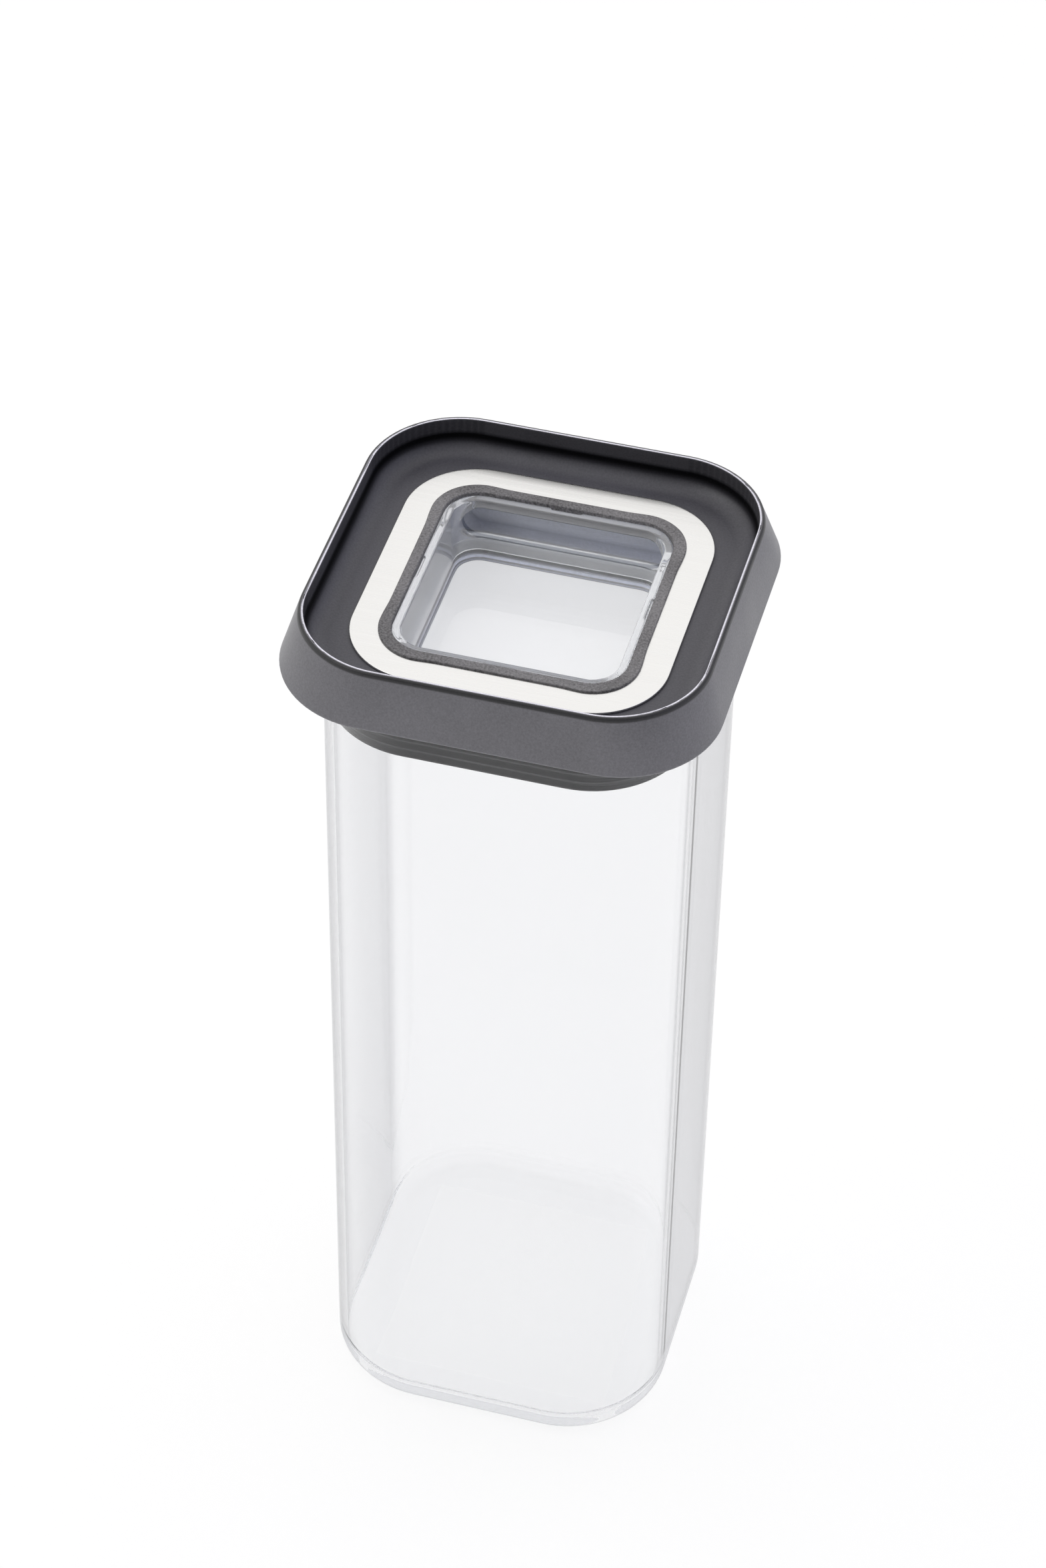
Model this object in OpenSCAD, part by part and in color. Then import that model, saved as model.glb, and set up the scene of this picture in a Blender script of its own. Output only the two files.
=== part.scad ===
// Square storage jar of clear glass with a push-fit lid. The lid has a sunk tray with a steel
// plate in it, and a deep clear cup in the middle with a finger pocket on two sides.
// Z is up, the origin is the middle of the jar's base, and the front faces -Y.

/* [Jar] */
// Width of the glass jar across its flat sides
jar_w = 86; // [86:0.5:88]
// Height of the glass jar, from its base to its rim
jar_h = 240; // [80:1:300]
// Radius of the jar's upright corners
jar_corner = 26; // [24:1:28]
// Thickness of the glass wall
glass_t = 2.1; // [1.9:0.1:2.1]
// Thickness of the glass floor
glass_floor = 4; // [3:0.5:8]
// Radius of the jar's outer bottom edge
foot_round = 6; // [3:0.5:8]

/* [Lid] */
// Width of the lid across its lower edge
lid_w = 100; // [99:0.5:104]
// Width of the lid across its top rim
rim_w = 92.4; // [91.6:0.2:93.2]
// Depth of the tray below the top of the rim
tray_depth = 8; // [7:0.5:9]
// Radius between the tray's wall and its floor
tray_round = 5; // [2:0.5:5]
// Thickness of the tray's floor
tray_t = 2; // [2:0.1:3]
// How far the skirt reaches below the jar's rim
skirt_drop = 3.4; // [2:0.1:6]

/* [Steel plate] */
// Width of the steel plate, left to right
plate_w = 72.2; // [68:0.2:74]
// Thickness of the steel plate
plate_t = 0.5; // [0.4:0.1:0.8]

/* [Window] */
// Inner width of the window frame, left to right
window_w = 53.7; // [53.3:0.1:54.1]
// Inner length of the window frame, front to back
window_l = 56.5; // [56.1:0.1:56.9]
// Depth of the clear cup below the top of its frame
cup_depth = 17; // [16.6:0.1:17.2]
// Wall thickness of the clear cup
cup_t = 2; // [1.6:0.1:2.2]
// Width of each finger pocket
pocket_w = 48; // [30:1:48]
// Height of each finger pocket
pocket_h = 8; // [6:0.5:8]
// Depth of each finger pocket behind the cup's wall
pocket_depth = 6; // [4:0.5:6]

/* [Seal] */
// Depth of the plug below the jar's rim
plug_depth = 17.6; // [17.2:0.1:18.6]
// Number of lips on the silicone seal
lips = 3; // [2:1:3]
// Distance between two lips
lip_pitch = 2.3; // [2:0.1:2.6]
// Clearance between the relaxed lips and the glass
lip_gap = 0.5; // [0.3:0.05:0.5]

/* [Hidden] */
$fn = 72;

// Half sides of the rectangles that the families of sections are swept round
jar_s = [1, 1] * (jar_w / 2 - jar_corner);
plug_s = jar_s + [3, 3];
lid_s = [25, 25];
window_s = [18.5, 18.5 + (window_l - window_w) / 2];

// Heights
tray_z = jar_h + tray_t;
top_z = tray_z + tray_depth;
skirt_z = jar_h - skirt_drop;
glue_t = 0.15;
plate_z = tray_z + glue_t;
bezel_z = plate_z + plate_t;
bezel_t = 0.5;
bezel_top = bezel_z + bezel_t;
cup_top = bezel_top - 0.75;
cup_floor_z = bezel_top - cup_depth;
plug_z = jar_h - plug_depth;
collar_t = 2;
gasket_t = 1;

// Overshoot of a cutting body past the faces it goes through
over = 1;

// Jar rim and corners
rim_round = 0.7;
bore_corner = jar_corner - glass_t;
well_round = 4;

// Outward reach of the lid's edges, from lid_s
lid_out = lid_w / 2 - lid_s.x;
rim_out = rim_w / 2 - lid_s.x;
lip_t = 1.2;
lip_in = rim_out - lip_t;
lip_edge = 0.15;
rim_edge = 1;
skirt_edge = 1;
skirt_foot = 1.9;
seat_step = 1.4;

// Outward reach of the window's parts and the plate, from window_s
window_in = window_w / 2 - window_s.x;
bezel_gap = 0.05;
bezel_wall = 1.25;
flange_mid = 2.5;
flange_corner = 3.1;
flange_step = 16;
hole_out = window_in + bezel_wall + 0.2;
plate_in = window_in + 1.8;
plate_out = plate_w / 2 - window_s.x;
cup_out = window_in - bezel_gap;
cup_in = cup_out - cup_t;
cup_flange = 4.3;
notch_w = 7;
notch_depth = 0.45;
notch_h = 0.55;
tab_gap = 0.2;
pocket_wall = 1.1;
pocket_gap = 0.4;
glue_inset = 0.8;
pocket_mid_z = cup_top - 6.35;
pocket_back = window_s.y + cup_in + pocket_depth;

// Outward reach of the plug's wall, from plug_s, and of the seal's lips, from jar_s
collar_out = bore_corner - 5.5;
collar_wall = 1.8;
seal_band = 0.7;
seal_h = 6.6;
lip_reach = bore_corner - lip_gap;
lip_root = lip_reach - 3;

// Half size s seen from the side that is turned to the right
function turned(s, turn) = turn % 180 == 0 ? s : [s.y, s.x];

// Carries a half section round a rectangle of half size s. The section's x is the distance
// outward from that rectangle, and its y is the height.
module sweep(s) {
    for (turn = [0:90:270]) rotate([0, 0, turn]) translate(turned(s, turn)) {
        rotate_extrude(angle = 90) children();
        rotate([90, 0, 0]) linear_extrude(height = 2 * turned(s, turn).y) children();
    }
}

// Plain block of half size s
module core(s, z, h) {
    translate([-s.x, -s.y, z]) cube([2 * s.x, 2 * s.y, h]);
}

// Rounded rectangle that reaches r beyond the half size s, as a plain slab
module slab(s, r, z, h) {
    translate([0, 0, z]) linear_extrude(height = h) rounded_outline(s, r);
}

module rounded_outline(s, r) {
    square(2 * [s.x + r, s.y], center = true);
    square(2 * [s.x, s.y + r], center = true);
    for (x = [-1, 1] * s.x, y = [-1, 1] * s.y) translate([x, y]) circle(r);
}

// Half section with a flat top and bottom and rounded outer edges
module edge_section(reach, h, low_r, high_r) {
    square([reach - low_r, h]);
    translate([0, low_r]) square([reach - high_r, h - low_r]);
    translate([0, low_r]) square([reach, h - low_r - high_r]);
    translate([reach - low_r, low_r]) circle(low_r);
    translate([reach - high_r, h - high_r]) circle(high_r);
}

// Material that fills an inside corner at the origin, open towards +x and +y
module fillet_section(r) {
    difference() {
        square(r);
        translate([r, r]) circle(r);
    }
}

// Stadium-shaped bar that runs from y0 to y1, centred on x = 0
module stadium_bar(w, h, y0, y1, z) {
    translate([0, y1, z]) rotate([90, 0, 0]) linear_extrude(height = y1 - y0) {
        square([w - h, h], center = true);
        for (x = [-1, 1] * (w - h) / 2) translate([x, 0]) circle(h / 2);
    }
}

// Glass wall, foot and rim in one section
module jar_section() {
    difference() {
        edge_section(jar_corner, jar_h, foot_round, rim_round);
        translate([0, glass_floor]) edge_section(bore_corner, 2 * jar_h, well_round, well_round);
        translate([bore_corner, jar_h]) mirror([0, 1]) fillet_section(rim_round);
    }
}

module glass_jar() {
    color([0.86, 0.9, 0.92, 0.35]) {
        sweep(jar_s) jar_section();
        core(jar_s, 0, glass_floor);
    }
}

// Rim, tray wall, seat and flared skirt of the lid in one section
module shell_section() {
    difference() {
        polygon([
            [0, jar_h],
            [lip_in - seat_step, jar_h],
            [lip_in - seat_step, jar_h + 0.8 * seat_step],
            [lip_in - 0.2, jar_h + 2.2],
            [lip_in + 0.5 * lip_t, jar_h + 3.1],
            [lip_in + lip_t, jar_h + 3],
            [lid_out - skirt_foot, skirt_z + 0.3 * skirt_edge],
            [lid_out - skirt_foot + 0.3 * skirt_edge, skirt_z],
            [lid_out - skirt_edge, skirt_z],
            [lid_out - 0.3 * skirt_edge, skirt_z + 0.3 * skirt_edge],
            [lid_out, skirt_z + skirt_edge],
            [rim_out, top_z - rim_edge],
            [rim_out - 0.15 * rim_edge, top_z - 0.45 * rim_edge],
            [rim_out - 0.45 * rim_edge, top_z - 0.1 * rim_edge],
            [rim_out - 0.7 * rim_edge, top_z],
            [lip_in + lip_edge, top_z],
            [lip_in, top_z - lip_edge],
            [lip_in, tray_z + tray_round],
            [lip_in - tray_round, tray_z],
            [0, tray_z]
        ]);
        translate([lip_in - tray_round, tray_z + tray_round]) circle(tray_round);
    }
}

// Space kept free for the two finger pockets of the cup
module pocket_clearance() {
    w = pocket_w + 6 * pocket_wall;
    h = pocket_h + 2 * pocket_wall + pocket_gap;
    depth = pocket_back + pocket_wall + pocket_gap - window_s.y;
    for (turn = [0, 180]) rotate([0, 0, turn])
        translate([-w / 2, window_s.y, pocket_mid_z - h / 2]) cube([w, depth, h]);
}

module lid_shell() {
    color([0.34, 0.34, 0.36]) difference() {
        union() {
            sweep(lid_s) shell_section();
            core(lid_s, jar_h, tray_t);
        }
        slab(window_s, hole_out, jar_h - over, tray_t + 2 * over);
        pocket_clearance();
    }
}

module steel_ring() {
    color([0.86, 0.86, 0.85]) difference() {
        slab(window_s, plate_out, plate_z, plate_t);
        slab(window_s, plate_in, plate_z - over, plate_t + 2 * over);
    }
}

module ring_adhesive() {
    color([0.75, 0.72, 0.62]) difference() {
        slab(window_s, plate_out - glue_inset, tray_z, glue_t);
        slab(window_s, plate_in + 2 * glue_inset, tray_z - over, glue_t + 2 * over);
    }
}

// Outline of the frame's flange: a little wider round the corners than along the sides
module bezel_outline() {
    corner = 20;
    rounded_outline(window_s, window_in + flange_mid);
    intersection() {
        rounded_outline(window_s, window_in + flange_corner);
        for (x = [-1, 1], y = [-1, 1]) translate([x, y] * (flange_step + corner / 2))
            square(corner, center = true);
    }
}

// The middle of each side of the window, with +y outwards
module at_notches() {
    for (turn = [0:90:270]) rotate([0, 0, turn])
        translate([0, turned(window_s, turn).y, 0]) children();
}

// The frame's wall holds the cup, and its four tabs sit in the cup's notches
module window_bezel() {
    wall_h = 4.6;
    tab_h = notch_h - 0.05;
    color([0.3, 0.3, 0.31]) {
        difference() {
            union() {
                translate([0, 0, bezel_z]) linear_extrude(height = bezel_t) bezel_outline();
                slab(window_s, window_in + bezel_wall, bezel_top - wall_h, wall_h - bezel_t);
            }
            slab(window_s, window_in, bezel_top - wall_h - over, wall_h + 2 * over);
            pocket_clearance();
        }
        at_notches() translate([tab_gap - notch_w / 2, window_in - notch_depth, cup_top - tab_h])
            cube([notch_w - 2 * tab_gap, notch_depth + bezel_wall / 4, tab_h]);
    }
}

// Clear cup: wall and flange, two finger pockets that open inwards, and a notch on each side
module window_cup() {
    cup_base_z = cup_floor_z - cup_t;
    flange_z = plug_z + collar_t + gasket_t;
    flange_t = 1.5;
    floor_round = 1.5;
    color([0.8, 0.86, 0.92, 0.4]) difference() {
        union() {
            slab(window_s, cup_out, cup_base_z, cup_top - cup_base_z);
            slab(window_s, window_in + cup_flange, flange_z, flange_t);
            for (turn = [0, 180]) rotate([0, 0, turn])
                stadium_bar(pocket_w + 2 * pocket_wall, pocket_h + 2 * pocket_wall,
                            window_s.y, pocket_back + pocket_wall, pocket_mid_z);
        }
        sweep(window_s) translate([0, cup_floor_z])
            edge_section(cup_in, 2 * cup_depth, floor_round, floor_round);
        core(window_s, cup_floor_z, 2 * cup_depth);
        for (turn = [0, 180]) rotate([0, 0, turn])
            stadium_bar(pocket_w, pocket_h, 0, pocket_back, pocket_mid_z);
        at_notches() translate([-notch_w / 2, cup_out - notch_depth, cup_top - notch_h])
            cube([notch_w, notch_depth + over, notch_h + over]);
    }
}

module window_gasket() {
    gasket_hole = 1.2;
    color([0.55, 0.56, 0.58]) difference() {
        slab(window_s, window_in + cup_flange, plug_z + collar_t, gasket_t);
        slab(window_s, window_in + gasket_hole, plug_z + collar_t - over, gasket_t + 2 * over);
    }
}

// Plug under the lid: outer wall, top flange and floor in one section, open for the cup
module collar_section() {
    flange_w = 4;
    flange_t = 1.5;
    translate([collar_out - collar_wall, plug_z]) square([collar_wall, plug_depth]);
    translate([0, plug_z]) square([collar_out, collar_t]);
    translate([collar_out - flange_w, jar_h - flange_t]) square([flange_w, flange_t]);
}

module seal_collar() {
    collar_gap = 0.4;
    color([0.16, 0.16, 0.17]) difference() {
        union() {
            sweep(plug_s) collar_section();
            core(plug_s, plug_z, collar_t);
        }
        slab(window_s, window_in + collar_gap, plug_z - over, collar_t + 2 * over);
    }
}

// Lips that point outwards at the glass, from inside the seal's band
module lips_section() {
    tip = 0.3;
    for (i = [0:lips - 1]) translate([0, plug_z + i * lip_pitch])
        polygon([
            [lip_root, 0],
            [lip_reach - tip, 0.4],
            [lip_reach, 0.65],
            [lip_reach, 0.65 + tip],
            [lip_root, 1.8]
        ]);
}

module silicone_seal() {
    color([0.2, 0.2, 0.21]) difference() {
        union() {
            slab(plug_s, collar_out + seal_band, plug_z, seal_h);
            sweep(jar_s) lips_section();
        }
        slab(plug_s, collar_out, plug_z - over, seal_h + 2 * over);
    }
}

glass_jar();
lid_shell();
steel_ring();
ring_adhesive();
window_bezel();
window_cup();
window_gasket();
seal_collar();
silicone_seal();
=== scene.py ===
"""Looks for the lidded glass canister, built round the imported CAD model.

Lengths in the piece builders are millimetres, as in the CAD source; make_mesh() turns them into
metres. Every ring-shaped piece is a half profile carried round a rounded square.
"""

import math

import bpy
import numpy as np
from mathutils import Matrix, Vector


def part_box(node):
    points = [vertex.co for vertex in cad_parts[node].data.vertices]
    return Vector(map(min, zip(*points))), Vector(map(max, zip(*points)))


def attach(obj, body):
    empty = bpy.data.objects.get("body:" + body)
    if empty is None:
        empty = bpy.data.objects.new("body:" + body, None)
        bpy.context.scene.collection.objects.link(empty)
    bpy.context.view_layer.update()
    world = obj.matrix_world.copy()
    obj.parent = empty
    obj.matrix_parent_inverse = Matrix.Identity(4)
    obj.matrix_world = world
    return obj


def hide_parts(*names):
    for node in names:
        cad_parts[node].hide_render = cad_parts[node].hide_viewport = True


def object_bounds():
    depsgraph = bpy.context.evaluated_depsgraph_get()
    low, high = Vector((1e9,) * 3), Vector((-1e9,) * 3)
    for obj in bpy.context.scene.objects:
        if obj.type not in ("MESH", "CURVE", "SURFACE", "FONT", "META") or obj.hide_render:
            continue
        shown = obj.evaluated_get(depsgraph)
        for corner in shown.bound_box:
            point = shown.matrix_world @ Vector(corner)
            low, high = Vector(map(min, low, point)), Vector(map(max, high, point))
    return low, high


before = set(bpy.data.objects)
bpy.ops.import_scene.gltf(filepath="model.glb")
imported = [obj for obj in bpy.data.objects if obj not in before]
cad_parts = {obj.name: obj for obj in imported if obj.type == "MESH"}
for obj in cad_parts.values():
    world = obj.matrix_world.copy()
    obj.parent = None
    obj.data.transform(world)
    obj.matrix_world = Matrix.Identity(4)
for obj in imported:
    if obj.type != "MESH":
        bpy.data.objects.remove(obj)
CAD_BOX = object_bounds()

MM = 0.001

# Mesh steps round a corner arc, along a side and round a quarter fillet, and how far a fillet's
# holding station lies from it, in mm
ARC_STEPS = 20
SIDE_STEPS = 8
FILLET_STEPS = 6
HOLD = 0.35


# ---------------------------------------------------------------- sizes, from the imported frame


def reach(node):
    """Half width of a CAD node along X, in mm."""
    low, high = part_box(node)
    return (high.x - low.x) / 2 / MM


def longer(node):
    """How much further a CAD node reaches along Y than along X, in mm."""
    low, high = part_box(node)
    return (high.y - low.y - high.x + low.x) / 2 / MM


def low_z(node):
    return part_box(node)[0].z / MM


def high_z(node):
    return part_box(node)[1].z / MM


JAR_HALF = reach("glass_jar")
JAR_TOP = high_z("glass_jar")
JAR_WALL = 2.1
JAR_FLOOR = 4.0
LID_HALF = reach("lid_shell")
SKIRT_FLARE = 3.8
RIM_HALF = LID_HALF - SKIRT_FLARE
LIP_WALL = 1.15
LID_TOP = high_z("lid_shell")
SKIRT_LOW = low_z("lid_shell")
PLATE_HALF = reach("steel_ring")
PLATE_LOW = low_z("steel_ring")
PLATE_TOP = high_z("steel_ring")
TRAY_Z = low_z("ring_adhesive")
TRAY_WALL = 2.0
FRAME_TOP = high_z("window_bezel")
CUP_TOP = high_z("window_cup")
CUP_LOW = low_z("window_cup")
PLUG_LOW = low_z("seal_collar")
PLUG_HALF = reach("seal_collar")
PLUG_WALL = 1.8
PLUG_FLOOR = 2.0
SEAL_HALF = reach("silicone_seal")
LIPS = 3
LIP_PITCH = 2.3

# Half sizes, along X and Y, of the rectangles that the corner arcs are centred on
SQUARE = np.array([1.0, 1.0])
JAR_INNER = 17.0 * SQUARE
PLUG_INNER = 20.0 * SQUARE
RIM_INNER = 24.0 * SQUARE
SKIRT_INNER = 26.5 * SQUARE
WINDOW_INNER = np.array([18.5, 18.5 + longer("steel_ring")])

# The window: its frame, the clear cup and the cup's two finger pockets
WINDOW_HALF = 26.85
FRAME_WALL = 1.2
FRAME_FLANGE = 2.55
CUP_LONGER = WINDOW_INNER[1] - WINDOW_INNER[0]
CUP_DEPTH = 17.0
CUP_FLOOR_Z = FRAME_TOP - CUP_DEPTH
CUP_GAP = 0.05
CUP_WALL = 2.0
CUP_OUT = WINDOW_HALF - CUP_GAP
CUP_IN = CUP_OUT - CUP_WALL
POCKET_WIDTH = 48.0
POCKET_HEIGHT = 8.0
POCKET_DEPTH = 6.0
POCKET_WALL = 1.1
POCKET_Z = CUP_TOP - 6.35
POCKET_BACK = CUP_IN + CUP_LONGER + POCKET_DEPTH


# ---------------------------------------------------------------- mesh helpers


def make_mesh(name, points, faces, body, node=None, material=None):
    """A smooth piece from points in mm. It rides on body and may stand for a CAD node."""
    mesh = bpy.data.meshes.new(name)
    mesh.from_pydata([tuple(p) for p in np.asarray(points) * MM], [], faces)
    mesh.validate()
    mesh.polygons.foreach_set("use_smooth", [True] * len(mesh.polygons))
    mesh.update()
    piece = bpy.data.objects.new(name, mesh)
    bpy.context.scene.collection.objects.link(piece)
    if material:
        mesh.materials.append(material)
    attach(piece, body)
    if node:
        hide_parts(node)
    return piece


def ring(half, inner, z, side_steps=SIDE_STEPS):
    """Points round a rounded rectangle of that half width, with corner arcs centred at +-inner."""
    radius = half - inner[0]
    points = []
    for corner in range(4):
        turn = corner * math.pi / 2
        sides = np.array([math.cos(turn) - math.sin(turn), math.sin(turn) + math.cos(turn)])
        for i in range(ARC_STEPS + 1):
            a = turn + math.pi / 2 * i / ARC_STEPS
            points.append(sides * inner + radius * np.array([math.cos(a), math.sin(a)]))
        start = points[-1]
        a = turn + math.pi / 2
        along = np.array([-math.sin(a), math.cos(a)])
        length = 2 * inner[corner % 2]
        for i in range(1, side_steps):
            points.append(start + along * (length * i / side_steps))
    flat = np.array(points)
    return np.column_stack([flat, np.full(len(flat), z)])


def rounded_path(corners, closed):
    """Rounds a profile's corners, given as (half width, z, fillet radius, inner). Returns
    (half, z, inner) stations, with one just off each fillet, so that flats shade flat."""
    count = len(corners)
    stations = []
    for i, (u, z, radius, inner) in enumerate(corners):
        here = np.array([u, z], float)
        open_end = not closed and i in (0, count - 1)
        if open_end or radius <= 0:
            stations.append((u, z, inner))
            continue
        before = np.array(corners[i - 1][:2], float)
        after = np.array(corners[(i + 1) % count][:2], float)
        into = (before - here) / np.linalg.norm(before - here)
        out = (after - here) / np.linalg.norm(after - here)
        half_angle = math.acos(np.clip(into @ out, -1, 1)) / 2
        setback = radius / math.tan(half_angle)
        centre = here + (into + out) / np.linalg.norm(into + out) * radius / math.sin(half_angle)
        first, last = here + into * setback, here + out * setback
        sweep = math.pi - 2 * half_angle
        side = math.copysign(1, np.cross(first - centre, last - centre))
        arc = []
        quarters = sweep / (math.pi / 2)
        steps = round(FILLET_STEPS * quarters * (1 + radius / 4))
        steps = max(2, min(FILLET_STEPS * 2, steps))
        for k in range(steps + 1):
            a = side * sweep * k / steps
            turn = np.array([[math.cos(a), -math.sin(a)], [math.sin(a), math.cos(a)]])
            arc.append(centre + turn @ (first - centre))
        room_in = np.linalg.norm(before - here) - setback
        room_out = np.linalg.norm(after - here) - setback
        stations.append((*(first + into * min(HOLD, room_in * 0.25)), inner))
        stations += [(*p, inner) for p in arc]
        stations.append((*(last + out * min(HOLD, room_out * 0.25)), inner))
    return stations


def loft(stations, closed, place=ring):
    """Points and faces of the surface through a ring at each (half, z, inner) station."""
    rings = [place(u, inner, z) for u, z, inner in stations]
    n = len(rings[0])
    pairs = range(len(rings) if closed else len(rings) - 1)
    faces = []
    for a in pairs:
        b = (a + 1) % len(rings)
        for i in range(n):
            j = (i + 1) % n
            faces.append((a * n + i, a * n + j, b * n + j, b * n + i))
    if not closed:
        faces.append(tuple(reversed(range(n))))
        faces.append(tuple((len(rings) - 1) * n + i for i in range(n)))
    points = np.vstack(rings)
    if signed_volume(points, faces) < 0:
        faces = [tuple(reversed(f)) for f in faces]
    return points, faces


def signed_volume(points, faces):
    """Six times the volume that the faces enclose, positive when they face outwards."""
    total = 0.0
    for f in faces:
        a = points[f[0]]
        for i in range(1, len(f) - 1):
            total += np.dot(a, np.cross(points[f[i]], points[f[i + 1]]))
    return total


# ---------------------------------------------------------------- material helpers


# Noise sits mostly between these two values
NOISE_LOW, NOISE_HIGH = 0.3, 0.7
SPECKLE_SHARE = 0.6
EDGE_ON = 0.95
CLEAR_IOR = 1.5


class Nodes:
    """A material's node tree, with short calls to add and link nodes."""

    def __init__(self, name):
        self.material = bpy.data.materials.new(name)
        self.material.use_nodes = True
        self.tree = self.material.node_tree
        self.shader = self.tree.nodes["Principled BSDF"]
        self.output = self.tree.nodes["Material Output"]
        self.position = self.add("ShaderNodeTexCoord").outputs["Object"]

    def add(self, kind, **settings):
        node = self.tree.nodes.new(kind)
        for key, value in settings.items():
            setattr(node, key, value)
        return node

    def link(self, source, target):
        self.tree.links.new(source, target)

    def set(self, **values):
        for key, value in values.items():
            self.shader.inputs[key.replace("_", " ")].default_value = value

    def noise(self, scale, detail=2.0, roughness=0.5, stretch=(1, 1, 1)):
        """Noise over the object in metres, stretched per axis."""
        mapping = self.add("ShaderNodeMapping")
        mapping.inputs["Scale"].default_value = stretch
        self.link(self.position, mapping.inputs["Vector"])
        node = self.add("ShaderNodeTexNoise")
        node.inputs["Scale"].default_value = scale
        node.inputs["Detail"].default_value = detail
        node.inputs["Roughness"].default_value = roughness
        self.link(mapping.outputs["Vector"], node.inputs["Vector"])
        return node.outputs["Fac"]

    def ramp(self, factor, *stops):
        """A colour ramp from (position, colour) stops."""
        node = self.add("ShaderNodeValToRGB")
        elements = node.color_ramp.elements
        while len(elements) < len(stops):
            elements.new(0.5)
        for element, (place, colour) in zip(elements, stops):
            element.position = place
            element.color = (*colour, 1)
        self.link(factor, node.inputs["Fac"])
        return node.outputs["Color"]

    def span(self, factor, low, high):
        """Maps noise, or a share, from the usual range of noise onto low to high."""
        node = self.add("ShaderNodeMapRange")
        node.inputs["From Min"].default_value = NOISE_LOW
        node.inputs["From Max"].default_value = NOISE_HIGH
        node.inputs["To Min"].default_value = low
        node.inputs["To Max"].default_value = high
        self.link(factor, node.inputs["Value"])
        return node.outputs["Result"]

    def outward(self, inner, plane=(1, 1, 0), centre_z=0):
        """Distance outward from a core of that half size in mm, given in metres. The core is
        upright, or lies along the axis that the plane leaves out."""
        value = self.position
        steps = (
            ("SUBTRACT", (0, 0, centre_z * MM)),
            ("ABSOLUTE", None),
            ("SUBTRACT", tuple(length * MM for length in (*inner, 0))),
            ("MAXIMUM", (0, 0, 0)),
            ("MULTIPLY", plane),
        )
        for operation, other in steps:
            node = self.add("ShaderNodeVectorMath", operation=operation)
            self.link(value, node.inputs[0])
            if other:
                node.inputs[1].default_value = other
            value = node.outputs["Vector"]
        length = self.add("ShaderNodeVectorMath", operation="LENGTH")
        self.link(value, length.inputs[0])
        return length.outputs["Value"]

    def height(self):
        split = self.add("ShaderNodeSeparateXYZ")
        self.link(self.position, split.inputs[0])
        return split.outputs["Z"]

    def step(self, value, start, end):
        """0 where the value, in metres, is at start mm and 1 where it is at end mm."""
        node = self.add("ShaderNodeMapRange")
        node.interpolation_type = "SMOOTHSTEP"
        node.inputs["From Min"].default_value = start * MM
        node.inputs["From Max"].default_value = end * MM
        self.link(value, node.inputs["Value"])
        return node.outputs["Result"]

    def band(self, value, rise_from, rise_to, fall_from, fall_to):
        """1 between rise_to and fall_from mm, and 0 outside rise_from and fall_to mm."""
        rise = self.step(value, rise_from, rise_to)
        return self.times(rise, self.step(value, fall_to, fall_from))

    def times(self, a, b):
        node = self.add("ShaderNodeMath", operation="MULTIPLY")
        self.link(a, node.inputs[0])
        self.link(b, node.inputs[1])
        return node.outputs[0]

    def scaled(self, colour, share, tint):
        """The colour, multiplied by the tint where the share is 1."""
        node = self.add("ShaderNodeMix", data_type="RGBA", blend_type="MULTIPLY")
        self.link(share, node.inputs["Factor"])
        self.link(colour, node.inputs[6])
        node.inputs[7].default_value = (*tint, 1)
        return node.outputs[2]

    def grazing(self, start):
        """0 where the surface is seen straight on, up to 1 where it is seen edge on."""
        weight = self.add("ShaderNodeLayerWeight")
        node = self.add("ShaderNodeMapRange", interpolation_type="SMOOTHSTEP")
        node.inputs["From Min"].default_value = start
        node.inputs["From Max"].default_value = EDGE_ON
        self.link(weight.outputs["Facing"], node.inputs["Value"])
        return node.outputs["Result"]

    def bump(self, height, distance, strength=1.0, under=None):
        node = self.add("ShaderNodeBump")
        node.inputs["Distance"].default_value = distance
        node.inputs["Strength"].default_value = strength
        self.link(height, node.inputs["Height"])
        if under:
            self.link(under, node.inputs["Normal"])
        self.link(node.outputs["Normal"], self.shader.inputs["Normal"])
        return node.outputs["Normal"]

    def let_light_through(self, tint):
        """Lamps reach what is behind the glass: shadow rays meet a plain transparent shader."""
        clear = self.add("ShaderNodeBsdfTransparent")
        clear.inputs["Color"].default_value = (*tint, 1)
        mix = self.add("ShaderNodeMixShader")
        path = self.add("ShaderNodeLightPath")
        self.link(path.outputs["Is Shadow Ray"], mix.inputs["Fac"])
        self.link(self.shader.outputs["BSDF"], mix.inputs[1])
        self.link(clear.outputs["BSDF"], mix.inputs[2])
        self.link(mix.outputs["Shader"], self.output.inputs["Surface"])


def textured_plastic(name, colours, grain, depth, rough, shade=None):
    """Spark-eroded moulded plastic: fine grain, slight mottling and uneven gloss. shade() may
    change the colour from place to place."""
    n = Nodes(name)
    mottle = n.noise(60, 3)
    speckle = n.noise(grain, 2, 0.7)
    blend = n.add("ShaderNodeMath", operation="MULTIPLY_ADD")
    n.link(speckle, blend.inputs[0])
    blend.inputs[1].default_value = SPECKLE_SHARE
    scaled = n.add("ShaderNodeMath", operation="MULTIPLY")
    n.link(mottle, scaled.inputs[0])
    scaled.inputs[1].default_value = 1 - SPECKLE_SHARE
    n.link(scaled.outputs[0], blend.inputs[2])
    dark, light = colours
    colour = n.ramp(blend.outputs[0], (NOISE_LOW, dark), (NOISE_HIGH, light))
    n.link(shade(n, colour) if shade else colour, n.shader.inputs["Base Color"])
    n.link(n.span(mottle, *rough), n.shader.inputs["Roughness"])
    n.bump(speckle, depth)
    return n.material


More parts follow.
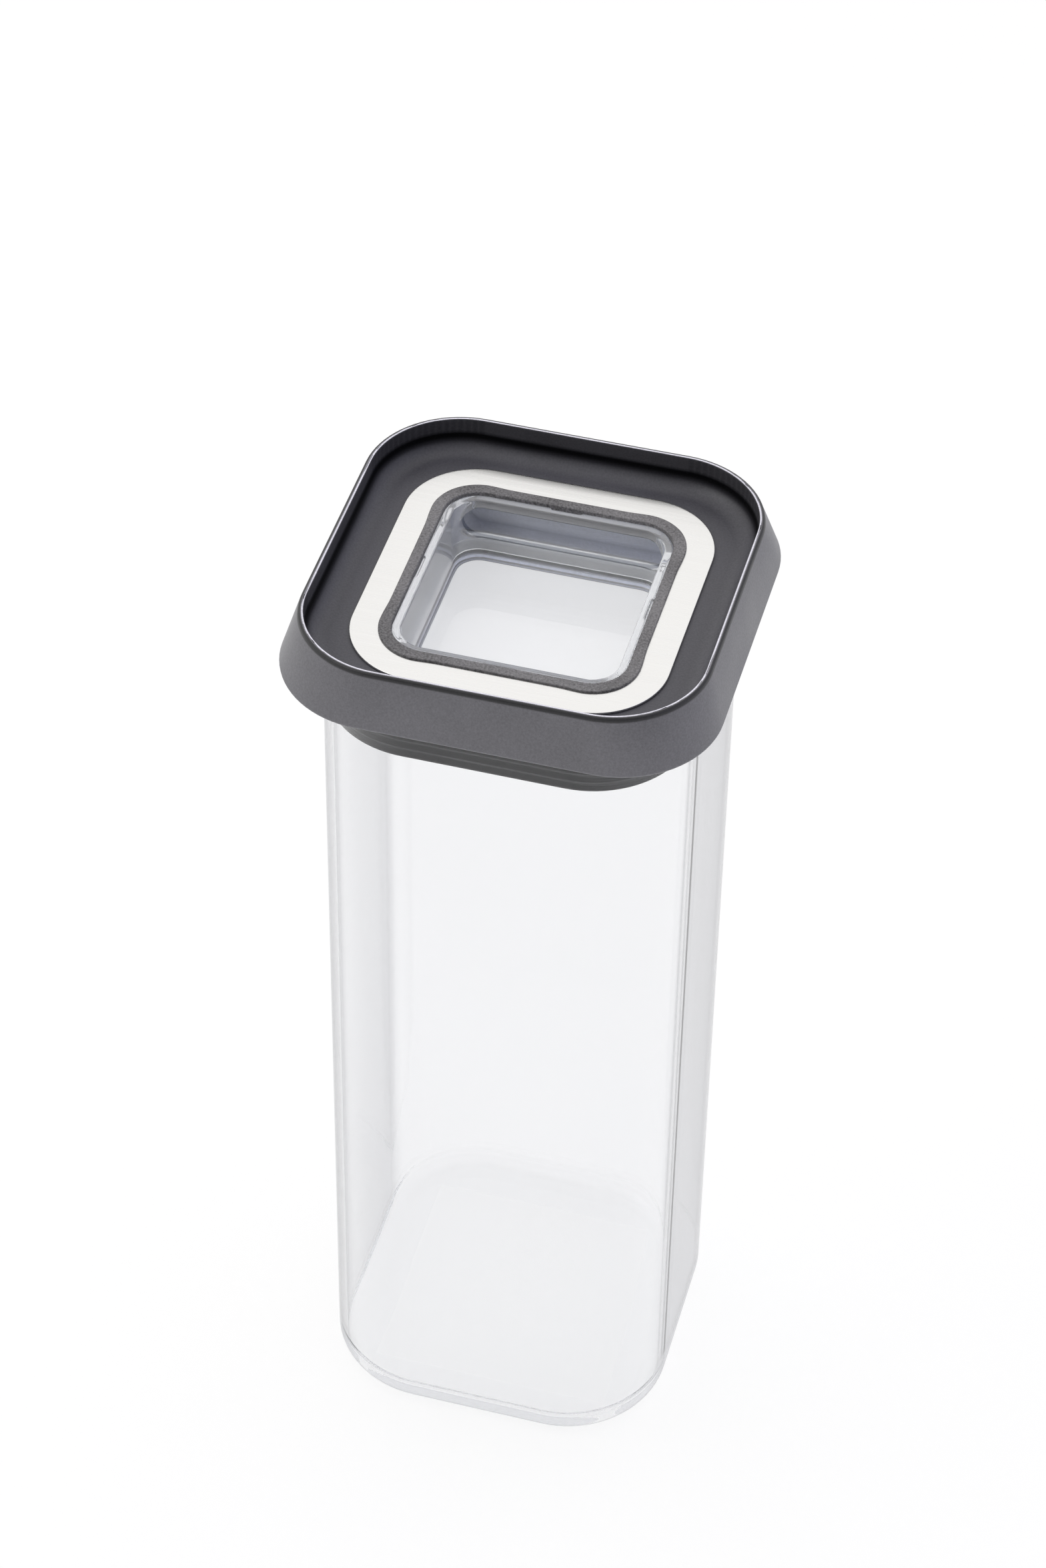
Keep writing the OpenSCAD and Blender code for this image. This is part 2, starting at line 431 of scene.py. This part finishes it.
def clear_material(name, tint, waves, soak, shade, **looks):
    """Clear glass or plastic with the faint waves that moulding leaves, given as scale, depth and
    stretch. Its body soaks up a little light, given as colour and density, so that long ways
    through it look darker. shade() tints it in places."""
    n = Nodes(name)
    n.set(Base_Color=(*tint, 1), IOR=CLEAR_IOR, Roughness=0.0, **looks)
    scale, depth, stretch = waves
    n.bump(n.noise(scale, 1, 0.4, stretch), depth)
    n.let_light_through((0.98, 0.985, 0.99))
    body = n.add("ShaderNodeVolumeAbsorption")
    colour, density = soak
    body.inputs["Color"].default_value = (*colour, 1)
    body.inputs["Density"].default_value = density
    n.link(body.outputs["Volume"], n.output.inputs["Volume"])
    paler = tuple(0.99 * c for c in tint)
    plain = n.ramp(n.noise(scale, 1), (NOISE_LOW, tint), (NOISE_HIGH, paler))
    n.link(shade(n, plain), n.shader.inputs["Base Color"])
    return n.material


def brushed_steel():
    """Stainless plate, brushed along X."""
    n = Nodes("plate_brushed_steel")
    fine = n.noise(1, 3, 0.6, (60, 5200, 5200))
    broad = n.noise(1, 2, 0.5, (18, 900, 900))
    n.link(
        n.ramp(fine, (0.25, (0.86, 0.857, 0.845)), (0.75, (0.9, 0.897, 0.887))),
        n.shader.inputs["Base Color"],
    )
    n.link(n.span(broad, 0.24, 0.3), n.shader.inputs["Roughness"])
    n.set(Metallic=1.0, Anisotropic=0.7)
    tangent = n.add("ShaderNodeTangent", direction_type="UV_MAP", uv_map="brush")
    n.link(tangent.outputs["Tangent"], n.shader.inputs["Tangent"])
    n.bump(fine, 0.000003, 0.4)
    return n.material


# ---------------------------------------------------------------- materials


def lid_shade(n, colour):
    """Painted shade: the tray's floor is darker than the skirt, and its wall near black, with a
    lower specular level.
    Painted highlights along the lip's top and the skirt's lower edge; painted shade where the lip
    rounds over outwards."""
    out, height = n.outward(RIM_INNER), n.height()
    lip = RIM_HALF - RIM_INNER[0]
    inside = n.step(out, lip - 1.0, lip - 1.3)
    # painted shade: the tray's floor, inside the rim, is darkened
    colour = n.scaled(colour, inside, (0.56, 0.56, 0.6))
    # painted shade: the tray's wall is made near black, and given a lower specular level
    wall = n.times(inside, n.step(height, TRAY_Z + 0.8, TRAY_Z + 3.4))
    colour = n.scaled(colour, wall, (0.02, 0.02, 0.025))
    gloss = n.span(wall, 0.5, 0.06)
    n.link(gloss, n.shader.inputs["Specular IOR Level"])
    # painted shade: a dark band where the lip rounds over outwards
    high = n.step(height, LID_TOP - 1.2, LID_TOP - 0.7)
    painted_lip_shade = n.times(high, n.step(out, lip - 0.75, lip - 0.55))
    colour = n.scaled(colour, painted_lip_shade, (0.15, 0.15, 0.15))
    # painted highlight: a bright line along the lip's top
    colour = n.scaled(colour, n.step(height, LID_TOP - 0.03, LID_TOP - 0.005), (6, 6, 6))
    # painted highlight: a bright line along the skirt's lower edge
    return n.scaled(colour, n.step(height, SKIRT_LOW + 0.2, SKIRT_LOW + 0.05), (3, 3, 3))


def plug_shade(n, colour):
    """Painted light: the plug is made far paler inside, where the clear cup shows it, for light
    from below that the closed cavity doesn't get.
    """
    wall = PLUG_HALF - PLUG_INNER[0]
    inside = n.step(n.outward(PLUG_INNER), wall - 0.6, wall - 1.2)
    above = n.step(n.height(), PLUG_LOW + 0.6, PLUG_LOW + 1.2)
    # painted light: the plug's inside, behind the clear cup, is brightened
    return n.scaled(colour, n.times(inside, above), (28, 29.5, 32))


def jar_shade(n, colour):
    """Glass seen edge on is a long way through, and greyer. The tint also paints shade: the dark
    bands along the jar's edges.
    """
    return n.scaled(colour, n.grazing(0.6), (0.22, 0.22, 0.245))


def cup_shade(n, colour):
    """A thin darker line, painted shade, where the edge of each finger pocket bends the light away.
    """
    radius = POCKET_HEIGHT / 2
    out = n.outward((POCKET_WIDTH / 2 - radius, 0), (1, 0, 1), POCKET_Z)
    line = n.band(out, radius - 0.4, radius - 0.1, radius + 0.2, radius + 0.5)
    before_wall = 1.0
    beyond = n.outward((POCKET_WIDTH, CUP_IN + CUP_LONGER - before_wall))
    wall = n.band(beyond, 0.2, 0.4, 1.5, 1.9)
    # painted shade: a thin dark line round each pocket's edge
    return n.scaled(colour, n.times(line, wall), (0.3, 0.32, 0.36))


LID_PLASTIC = textured_plastic(
    "lid_anthracite_plastic",
    colours=((0.11, 0.108, 0.119), (0.185, 0.182, 0.2)),
    grain=2000,
    depth=0.00004,
    rough=(0.36, 0.5),
    shade=lid_shade,
)
FRAME_PLASTIC = textured_plastic(
    "frame_grained_plastic",
    colours=((0.04, 0.038, 0.041), (0.34, 0.33, 0.34)),
    grain=1900,
    depth=0.00014,
    rough=(0.4, 0.6),
)
PLUG_PLASTIC = textured_plastic(
    "plug_dark_plastic",
    colours=((0.02, 0.02, 0.023), (0.034, 0.034, 0.039)),
    grain=1500,
    depth=0.00001,
    rough=(0.3, 0.42),
    shade=plug_shade,
)
SEAL_RUBBER = textured_plastic(
    "seal_silicone",
    colours=((0.008, 0.008, 0.01), (0.02, 0.02, 0.024)),
    grain=900,
    depth=0.000003,
    rough=(0.34, 0.5),
)
GASKET_RUBBER = textured_plastic(
    "gasket_silicone",
    colours=((0.42, 0.42, 0.44), (0.52, 0.52, 0.54)),
    grain=900,
    depth=0.00001,
    rough=(0.4, 0.55),
)
TAPE = textured_plastic(
    "bonding_tape",
    colours=((0.45, 0.42, 0.34), (0.6, 0.57, 0.48)),
    grain=1200,
    depth=0.00002,
    rough=(0.7, 0.9),
)
JAR_GLASS = clear_material(
    "jar_clear_glass",
    tint=(0.97, 0.971, 0.975),
    waves=(9, 0.00004, (1, 1, 0.25)),
    soak=((0.5, 0.52, 0.57), 17),
    shade=jar_shade,
    Specular_Tint=(0.5, 0.5, 0.5, 1),
    Transmission_Weight=0.984,
)
CUP_PLASTIC = clear_material(
    "cup_clear_plastic",
    tint=(0.985, 0.99, 1.0),
    waves=(30, 0.00002, (1, 1, 1)),
    soak=((0.5, 0.55, 0.62), 8),
    shade=cup_shade,
    Transmission_Weight=0.78,
)
STEEL = brushed_steel()


# ---------------------------------------------------------------- the jar


def build_jar():
    """One closed wall: outside, rounded rim and inside, with a flat foot and a floor."""
    s = JAR_INNER
    inside = JAR_HALF - JAR_WALL
    flat = JAR_HALF - 7.0
    foot_round, mouth_round, floor_round = 5.6, 0.8, 4.5
    middle = 0.02
    corners = [
        (flat * middle, 0.0, 0, s * middle),
        (flat * 0.5, 0.0, 0, s * 0.5),
        (flat, 0.0, 0, s),
        (JAR_HALF, 0.0, foot_round, s),
        (JAR_HALF, JAR_TOP * 0.5, 0, s),
        (JAR_HALF, JAR_TOP, mouth_round, s),
        (inside, JAR_TOP, mouth_round, s),
        (inside, JAR_TOP * 0.5, 0, s),
        (inside, JAR_FLOOR, floor_round, s),
        (inside * 0.8, JAR_FLOOR - 0.1, 0, s * 0.8),
        (inside * 0.4, JAR_FLOOR + 0.1, 0, s * 0.4),
        (inside * middle, JAR_FLOOR + 0.15, 0, s * middle),
    ]
    points, faces = loft(rounded_path(corners, False), False)
    return make_mesh("jar_glass_body", points, faces, "jar", "glass_jar", JAR_GLASS)


# ---------------------------------------------------------------- the lid


def build_shell():
    """Tray, rim and flared skirt with an even wall, and the hole for the window."""
    rim, skirt, hole = RIM_INNER, SKIRT_INNER, WINDOW_INNER
    lip = RIM_HALF - LIP_WALL
    hole_half = WINDOW_HALF + 1.45
    under = TRAY_Z - TRAY_WALL
    tray_round = 5.0
    corners = [
        (hole_half, TRAY_Z, 0.15, hole),
        (PLATE_HALF + 1.5, TRAY_Z, 0, hole + 1.5),
        (lip, TRAY_Z, tray_round, rim),
        (lip, LID_TOP, 0.22, rim),
        (RIM_HALF, LID_TOP, 0.75, rim),
        (LID_HALF, SKIRT_LOW + 0.9, 0, skirt),
        (LID_HALF - 0.1, SKIRT_LOW, 0.7, skirt),
        (LID_HALF - 1.85, SKIRT_LOW, 0.3, skirt),
        (lip + 0.9, TRAY_Z + 1.0, 0.4, rim),
        (lip - 1.4, under, 0.8, rim),
        (PLATE_HALF - 1.0, under, 0, hole + 1.0),
        (hole_half, under, 0.15, hole),
    ]
    points, faces = loft(rounded_path(corners, True), True)
    return make_mesh(
        "lid_outer_shell", points, faces, "lid", "lid_shell", LID_PLASTIC
    )


def build_plate():
    """Steel plate with softly rounded cut edges and UVs that carry the brushing direction."""
    s = WINDOW_INNER
    outer_s = s + 0.2
    hole = WINDOW_HALF + 1.8
    corners = [
        (hole, PLATE_LOW, 0.08, s),
        (PLATE_HALF, PLATE_LOW, 0.08, outer_s),
        (PLATE_HALF, PLATE_TOP, 0.18, outer_s),
        (hole, PLATE_TOP, 0.12, s),
    ]
    points, faces = loft(rounded_path(corners, True), True)
    piece = make_mesh("lid_steel_plate", points, faces, "lid", "steel_ring", STEEL)
    uv = piece.data.uv_layers.new(name="brush")
    uv_width = 80
    for loop in piece.data.loops:
        co = piece.data.vertices[loop.vertex_index].co
        uv.data[loop.index].uv = (co.x / MM / uv_width + 0.5, co.y / MM / uv_width + 0.5)
    return piece


def frame_ring(half, inner, z):
    """The frame's outline. Its flange is a little wider round the corners than along the sides."""
    side_steps = 48
    wall_end, flange_width = 1.3, 1.2
    corner_start, softness, wider = 16.2, 1.0, 0.32
    points = ring(half, inner, z, side_steps)
    overhang = max(0.0, half - WINDOW_HALF - wall_end)
    if overhang <= 0:
        return points
    longest, shortest = np.abs(points[:, :2]).max(1), np.abs(points[:, :2]).min(1)
    corner = 1 / (1 + np.exp(-(shortest - corner_start) / softness))
    grow = wider * corner * min(1.0, overhang / flange_width)
    points[:, :2] *= ((longest + grow) / longest)[:, None]
    return points


def build_frame():
    """Dark grained frame round the window: a thin flange on the steel, and a wall round the cup."""
    s = WINDOW_INNER
    wall = WINDOW_HALF + FRAME_WALL
    flange = WINDOW_HALF + FRAME_FLANGE
    low = FRAME_TOP - 1.7
    seat = PLATE_TOP + 0.02
    corners = [
        (WINDOW_HALF, low, 0.1, s),
        (wall, low, 0.1, s),
        (wall, seat, 0.05, s),
        (flange, seat, 0.05, s),
        (flange, FRAME_TOP, 0.22, s),
        (WINDOW_HALF, FRAME_TOP, 0.3, s),
    ]
    points, faces = loft(rounded_path(corners, True), True, frame_ring)
    return make_mesh(
        "window_frame", points, faces, "lid", "window_bezel", FRAME_PLASTIC
    )


def build_plug():
    """Dark plug under the lid, open in the middle for the cup."""
    s, hole = PLUG_INNER, WINDOW_INNER
    top = JAR_TOP - 0.02
    wall = PLUG_HALF - PLUG_WALL
    hole_half = WINDOW_HALF + 0.4
    floor = PLUG_LOW + PLUG_FLOOR
    corners = [
        (wall, top, 0.2, s),
        (PLUG_HALF, top, 0.2, s),
        (PLUG_HALF, PLUG_LOW, 0.9, s),
        (hole_half, PLUG_LOW, 0.3, hole),
        (hole_half, floor, 0.3, hole),
        (wall, floor, 0.8, s),
    ]
    points, faces = loft(rounded_path(corners, True), True)
    return make_mesh(
        "seal_plug", points, faces, "lid", "seal_collar", PLUG_PLASTIC
    )


def build_seal():
    """Silicone band with three soft lips that point out at the glass."""
    band = PLUG_HALF + 0.6
    back = PLUG_HALF + 0.05
    top = high_z("silicone_seal")
    s, tip_s = PLUG_INNER, JAR_INNER + 1.5
    corners = [(back, top, 0.2, s), (back, PLUG_LOW + 0.2, 0.2, s)]
    for i in range(LIPS):
        z = PLUG_LOW + 0.1 + LIP_PITCH * i
        corners += [
            (SEAL_HALF - 0.3, z + 0.3, 0.2, tip_s),
            (SEAL_HALF - 0.2, z + 0.75, 0.15, tip_s),
            (band, z + 1.3, 0.2, s),
            (band, z + 2.0, 0.2, s),
        ]
    corners[-1] = (band, top, 0.3, s)
    points, faces = loft(rounded_path(corners, True), True)
    return make_mesh(
        "seal_lips", points, faces, "lid", "silicone_seal", SEAL_RUBBER
    )


# ---------------------------------------------------------------- the cup, from a distance field

CELL = 0.33
SETTLING_STEPS = 6


def box_distance(a, b):
    """Distance outside a rectangle, from the distances a and b beyond its two sides."""
    return np.hypot(np.maximum(a, 0), np.maximum(b, 0)) + np.minimum(np.maximum(a, b), 0)


def outline_distance(x, y, half, inner):
    """Distance outside a rounded rectangle, negative inside."""
    radius = half - inner[0]
    return box_distance(np.abs(x) - inner[0], np.abs(y) - inner[1]) - radius


def slab_distance(across, along, low, high, edge):
    """Gives an outline distance a bottom and a top, with that edge radius."""
    beyond = np.abs(along - (low + high) / 2) - (high - low) / 2
    return box_distance(across + edge, beyond + edge) - edge


def stadium_distance(x, z, width, height):
    """Distance outside a stadium of that size, negative inside."""
    return np.hypot(np.maximum(np.abs(x) - (width - height) / 2, 0), z) - height / 2


def smooth_min(a, b, k):
    h = np.maximum(k - np.abs(a - b), 0) / k
    return np.minimum(a, b) - h * h * k / 4


def smooth_max(a, b, k):
    return -smooth_min(-a, -b, k)


def pocket_shape(x, y, z, wall, start, edge):
    """Distance to both finger pockets, or to the shell of that wall thickness round them. start
    lies beyond the middle, so that only the far end of each is closed."""
    width, height = POCKET_WIDTH + 2 * wall, POCKET_HEIGHT + 2 * wall
    across = stadium_distance(x, z - POCKET_Z, width, height)
    return slab_distance(across, np.abs(y), -start, POCKET_BACK + wall, edge)


def cup_distance(p):
    """Distance to the clear cup's surface, in mm: wall and flange, less recess and pockets."""
    x, y, z = p[..., 0], p[..., 1], p[..., 2]
    draft = (CUP_TOP - z) * 0.03
    outside = outline_distance(x, y, CUP_OUT, WINDOW_INNER)
    body = slab_distance(outside, z, CUP_LOW, CUP_TOP, 0.35)
    flange_z, flange_t = PLUG_LOW + PLUG_FLOOR + 1.0, 1.5
    outline = outline_distance(x, y, reach("window_gasket"), WINDOW_INNER)
    flange = slab_distance(outline, z, flange_z, flange_z + flange_t, 0.3)
    shell = pocket_shape(x, y, z, POCKET_WALL, 10, 0.8)
    solid = smooth_min(smooth_min(body, flange, 0.5), shell, 0.6)

    inside = outline_distance(x, y, CUP_IN - draft, WINDOW_INNER)
    recess = slab_distance(inside, z, CUP_FLOOR_Z, CUP_TOP + 30, 1.6)
    space = smooth_min(recess, pocket_shape(x, y, z, 0, 30, 1.2), 0.35)
    cup = smooth_max(solid, -space, 0.4)

    notch_half, notch_depth, notch_h = 3.5, 0.6, 0.5
    for along, across, out in ((x, y, CUP_OUT + CUP_LONGER), (y, x, CUP_OUT)):
        beside = np.maximum(np.abs(along) - notch_half, out - notch_depth - np.abs(across))
        notch = np.maximum(beside, CUP_TOP - notch_h - z)
        cup = smooth_max(cup, -notch, 0.25)
    return cup


def slope(field, p, step=0.02):
    """Gradient of a field by central differences."""
    out = np.empty_like(p)
    for axis in range(3):
        d = np.zeros(3)
        d[axis] = step
        out[:, axis] = (field(p + d) - field(p - d)) / (2 * step)
    return out


def surface_mesh(field, low, high, cell):
    """Quads on the zero surface of a field, with one point per crossed cell, settled onto it."""
    counts = [int(math.ceil((b - a) / cell)) + 1 for a, b in zip(low, high)]
    axes = [low[i] + cell * np.arange(counts[i]) for i in range(3)]
    grid = np.stack(np.meshgrid(*axes, indexing="ij"), -1)
    value = field(grid)
    inside = value < 0
    crossed = np.zeros([c - 1 for c in counts], int)
    total = np.zeros((*crossed.shape, 3))
    for axis in range(3):
        near = [slice(None)] * 3
        far = [slice(None)] * 3
        near[axis], far[axis] = slice(None, -1), slice(1, None)
        a, b = value[tuple(near)], value[tuple(far)]
        cut = inside[tuple(near)] != inside[tuple(far)]
        share = np.where(cut, a / np.where(cut, a - b, 1), 0)
        place = grid[tuple(near)].copy()
        place[..., axis] += share * cell
        place *= cut[..., None]
        others = [i for i in range(3) if i != axis]
        for p in (0, 1):
            for q in (0, 1):
                pick = [slice(None)] * 3
                pick[others[0]] = slice(p, p + crossed.shape[others[0]])
                pick[others[1]] = slice(q, q + crossed.shape[others[1]])
                crossed += cut[tuple(pick)]
                total += place[tuple(pick)]
    used = crossed > 0
    index = np.full(crossed.shape, -1)
    index[used] = np.arange(used.sum())
    points = total[used] / crossed[used][:, None]
    for _ in range(SETTLING_STEPS):
        g = slope(field, points)
        steepness = np.maximum((g * g).sum(1), 0.05)
        move = -(field(points) / steepness)[:, None] * g
        points += np.clip(move, -cell / 2, cell / 2)
    quads = []
    for axis in range(3):
        near = [slice(1, -1)] * 3
        far = [slice(1, -1)] * 3
        near[axis], far[axis] = slice(0, -1), slice(1, None)
        a, b = inside[tuple(near)], inside[tuple(far)]
        i, j, k = np.nonzero(a != b)
        at = np.stack([i, j, k], 1) + [int(n != axis) for n in range(3)]
        u, v = [(1, 2), (2, 0), (0, 1)][axis]
        du, dv = np.eye(3, dtype=int)[u], np.eye(3, dtype=int)[v]
        four = [index[tuple((at - du * p - dv * q).T)] for p, q in ((1, 1), (0, 1), (0, 0), (1, 0))]
        four = np.stack(four, 1)
        outward = a[i, j, k]
        four[~outward] = four[~outward][:, ::-1]
        quads.append(four)
    return points, [tuple(q) for q in np.vstack(quads).tolist()]


def build_cup():
    """Clear cup with its two finger pockets, meshed from the distance field above."""
    margin = 1.5 * CELL
    side = reach("window_gasket") + margin
    back = POCKET_BACK + POCKET_WALL + margin
    low, high = (-side, -back, CUP_LOW - margin), (side, back, CUP_TOP + margin)
    cell = CELL
    points, faces = surface_mesh(cup_distance, low, high, cell)
    return make_mesh(
        "window_clear_cup", points, faces, "lid", "window_cup", CUP_PLASTIC
    )


build_jar()
build_shell()
build_plate()
build_frame()
build_plug()
build_seal()
build_cup()

for hidden_node, finish_material in (("ring_adhesive", TAPE), ("window_gasket", GASKET_RUBBER)):
    node_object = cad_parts[hidden_node]
    node_object.data.materials.clear()
    node_object.data.materials.append(finish_material)


# ---------------------------------------------------------------- floor, light and camera

# The camera looks down and round from the right. Lengths are metres, the lens is in mm, and PAN is
# how far the camera is moved right and up in its own view.
AZIMUTH = math.radians(14.745)
ELEVATION = math.radians(43.087)
ROLL = math.radians(1.02)
DISTANCE = 1.01695
PAN = (-0.00094, 0.04199)
LENS = 96.57
SENSOR_WIDTH = 36

# The table, in metres. Its patch stands this little above its plane, inside the foot's underside.
FLOOR_HALF = 6.0
PATCH_HALF = 0.03
FLOOR_GAP = 0.00005


def build_floor():
    """Plain white table that glows, as a light table does. A patch of it touches the middle of the
    glass foot, which keeps the light in the foot from going round for ever."""
    mesh = bpy.data.meshes.new("floor")
    points = []
    for half, z in ((FLOOR_HALF, -FLOOR_GAP), (PATCH_HALF, FLOOR_GAP)):
        points += [(-half, -half, z), (half, -half, z), (half, half, z), (-half, half, z)]
    mesh.from_pydata(points, [], [(0, 1, 2, 3), (4, 5, 6, 7)])
    floor = bpy.data.objects.new("floor", mesh)
    bpy.context.scene.collection.objects.link(floor)
    n = Nodes("floor_white")
    n.set(Base_Color=(0.25, 0.25, 0.25, 1), Roughness=0.9, Specular_IOR_Level=0.0)
    n.set(Emission_Color=(1, 1, 1, 1), Emission_Strength=0.8)
    mesh.materials.append(n.material)


def build_world():
    """Soft studio: bright overhead and behind, dark high up in front, pale low down all round,
    a little bluer from the right, and plain white where the camera looks."""
    world = bpy.data.worlds.new("studio")
    bpy.context.scene.world = world
    world.use_nodes = True
    tree = world.node_tree
    tree.nodes.clear()
    output = tree.nodes.new("ShaderNodeOutputWorld")
    direction = tree.nodes.new("ShaderNodeTexCoord").outputs["Generated"]
    split = tree.nodes.new("ShaderNodeSeparateXYZ")
    tree.links.new(direction, split.inputs[0])

    def glow(axis, start, end, low, high):
        node = tree.nodes.new("ShaderNodeMapRange")
        node.interpolation_type = "SMOOTHSTEP"
        node.inputs["From Min"].default_value = start
        node.inputs["From Max"].default_value = end
        node.inputs["To Min"].default_value = low
        node.inputs["To Max"].default_value = high
        tree.links.new(split.outputs[axis], node.inputs["Value"])
        return node.outputs["Result"]

    strength = tree.nodes.new("ShaderNodeMath")
    strength.operation = "MAXIMUM"
    tree.links.new(glow("Y", -0.8, 0.0, 0.22, 1.03), strength.inputs[0])
    tree.links.new(glow("Z", 0.2, 0.55, 0.55, 0.0), strength.inputs[1])
    tint = tree.nodes.new("ShaderNodeMix")
    tint.data_type = "RGBA"
    tint.inputs[6].default_value = (1.0, 0.99, 0.98, 1)
    tint.inputs[7].default_value = (0.6, 0.61, 0.74, 1)
    tree.links.new(glow("X", 0.1, 0.9, 0.0, 1.0), tint.inputs["Factor"])
    studio = tree.nodes.new("ShaderNodeBackground")
    tree.links.new(tint.outputs[2], studio.inputs["Color"])
    tree.links.new(strength.outputs[0], studio.inputs["Strength"])
    plain = tree.nodes.new("ShaderNodeBackground")
    plain.inputs["Strength"].default_value = 1.0
    mix = tree.nodes.new("ShaderNodeMixShader")
    path = tree.nodes.new("ShaderNodeLightPath")
    tree.links.new(path.outputs["Is Camera Ray"], mix.inputs["Fac"])
    tree.links.new(studio.outputs[0], mix.inputs[1])
    tree.links.new(plain.outputs[0], mix.inputs[2])
    tree.links.new(mix.outputs[0], output.inputs["Surface"])


def area_light(name, place, target, size, power):
    """A soft rectangular lamp that faces the target."""
    light = bpy.data.lights.new(name, "AREA")
    light.shape = "RECTANGLE"
    light.size, light.size_y = size
    light.energy = power
    lamp = bpy.data.objects.new(name, light)
    bpy.context.scene.collection.objects.link(lamp)
    lamp.location = place
    lamp.rotation_euler = (Vector(target) - Vector(place)).to_track_quat("-Z", "Y").to_euler()


def build_camera():
    """Looks down at the front from the right, with the object low in the view."""
    back = Vector(
        (
            math.sin(AZIMUTH) * math.cos(ELEVATION),
            -math.cos(AZIMUTH) * math.cos(ELEVATION),
            math.sin(ELEVATION),
        )
    )
    level = Vector((math.cos(AZIMUTH), math.sin(AZIMUTH), 0))
    rise = back.cross(level)
    right = math.cos(ROLL) * level + math.sin(ROLL) * rise
    up = math.cos(ROLL) * rise - math.sin(ROLL) * level
    middle = Vector((0, 0, CAD_BOX[1].z / 2))
    place = middle + back * DISTANCE + right * PAN[0] + up * PAN[1]
    data = bpy.data.cameras.new("camera")
    data.lens = LENS
    data.sensor_width = SENSOR_WIDTH
    camera = bpy.data.objects.new("camera", data)
    bpy.context.scene.collection.objects.link(camera)
    turn = Matrix((right, up, back)).transposed().to_4x4()
    camera.matrix_world = Matrix.Translation(place) @ turn
    bpy.context.scene.camera = camera


build_floor()
build_world()
area_light("key_left", (-0.9, -0.5, 1.3), (0, 0, 0.2), (0.7, 0.9), 3)
build_camera()
bpy.context.scene.view_settings.view_transform = "Standard"
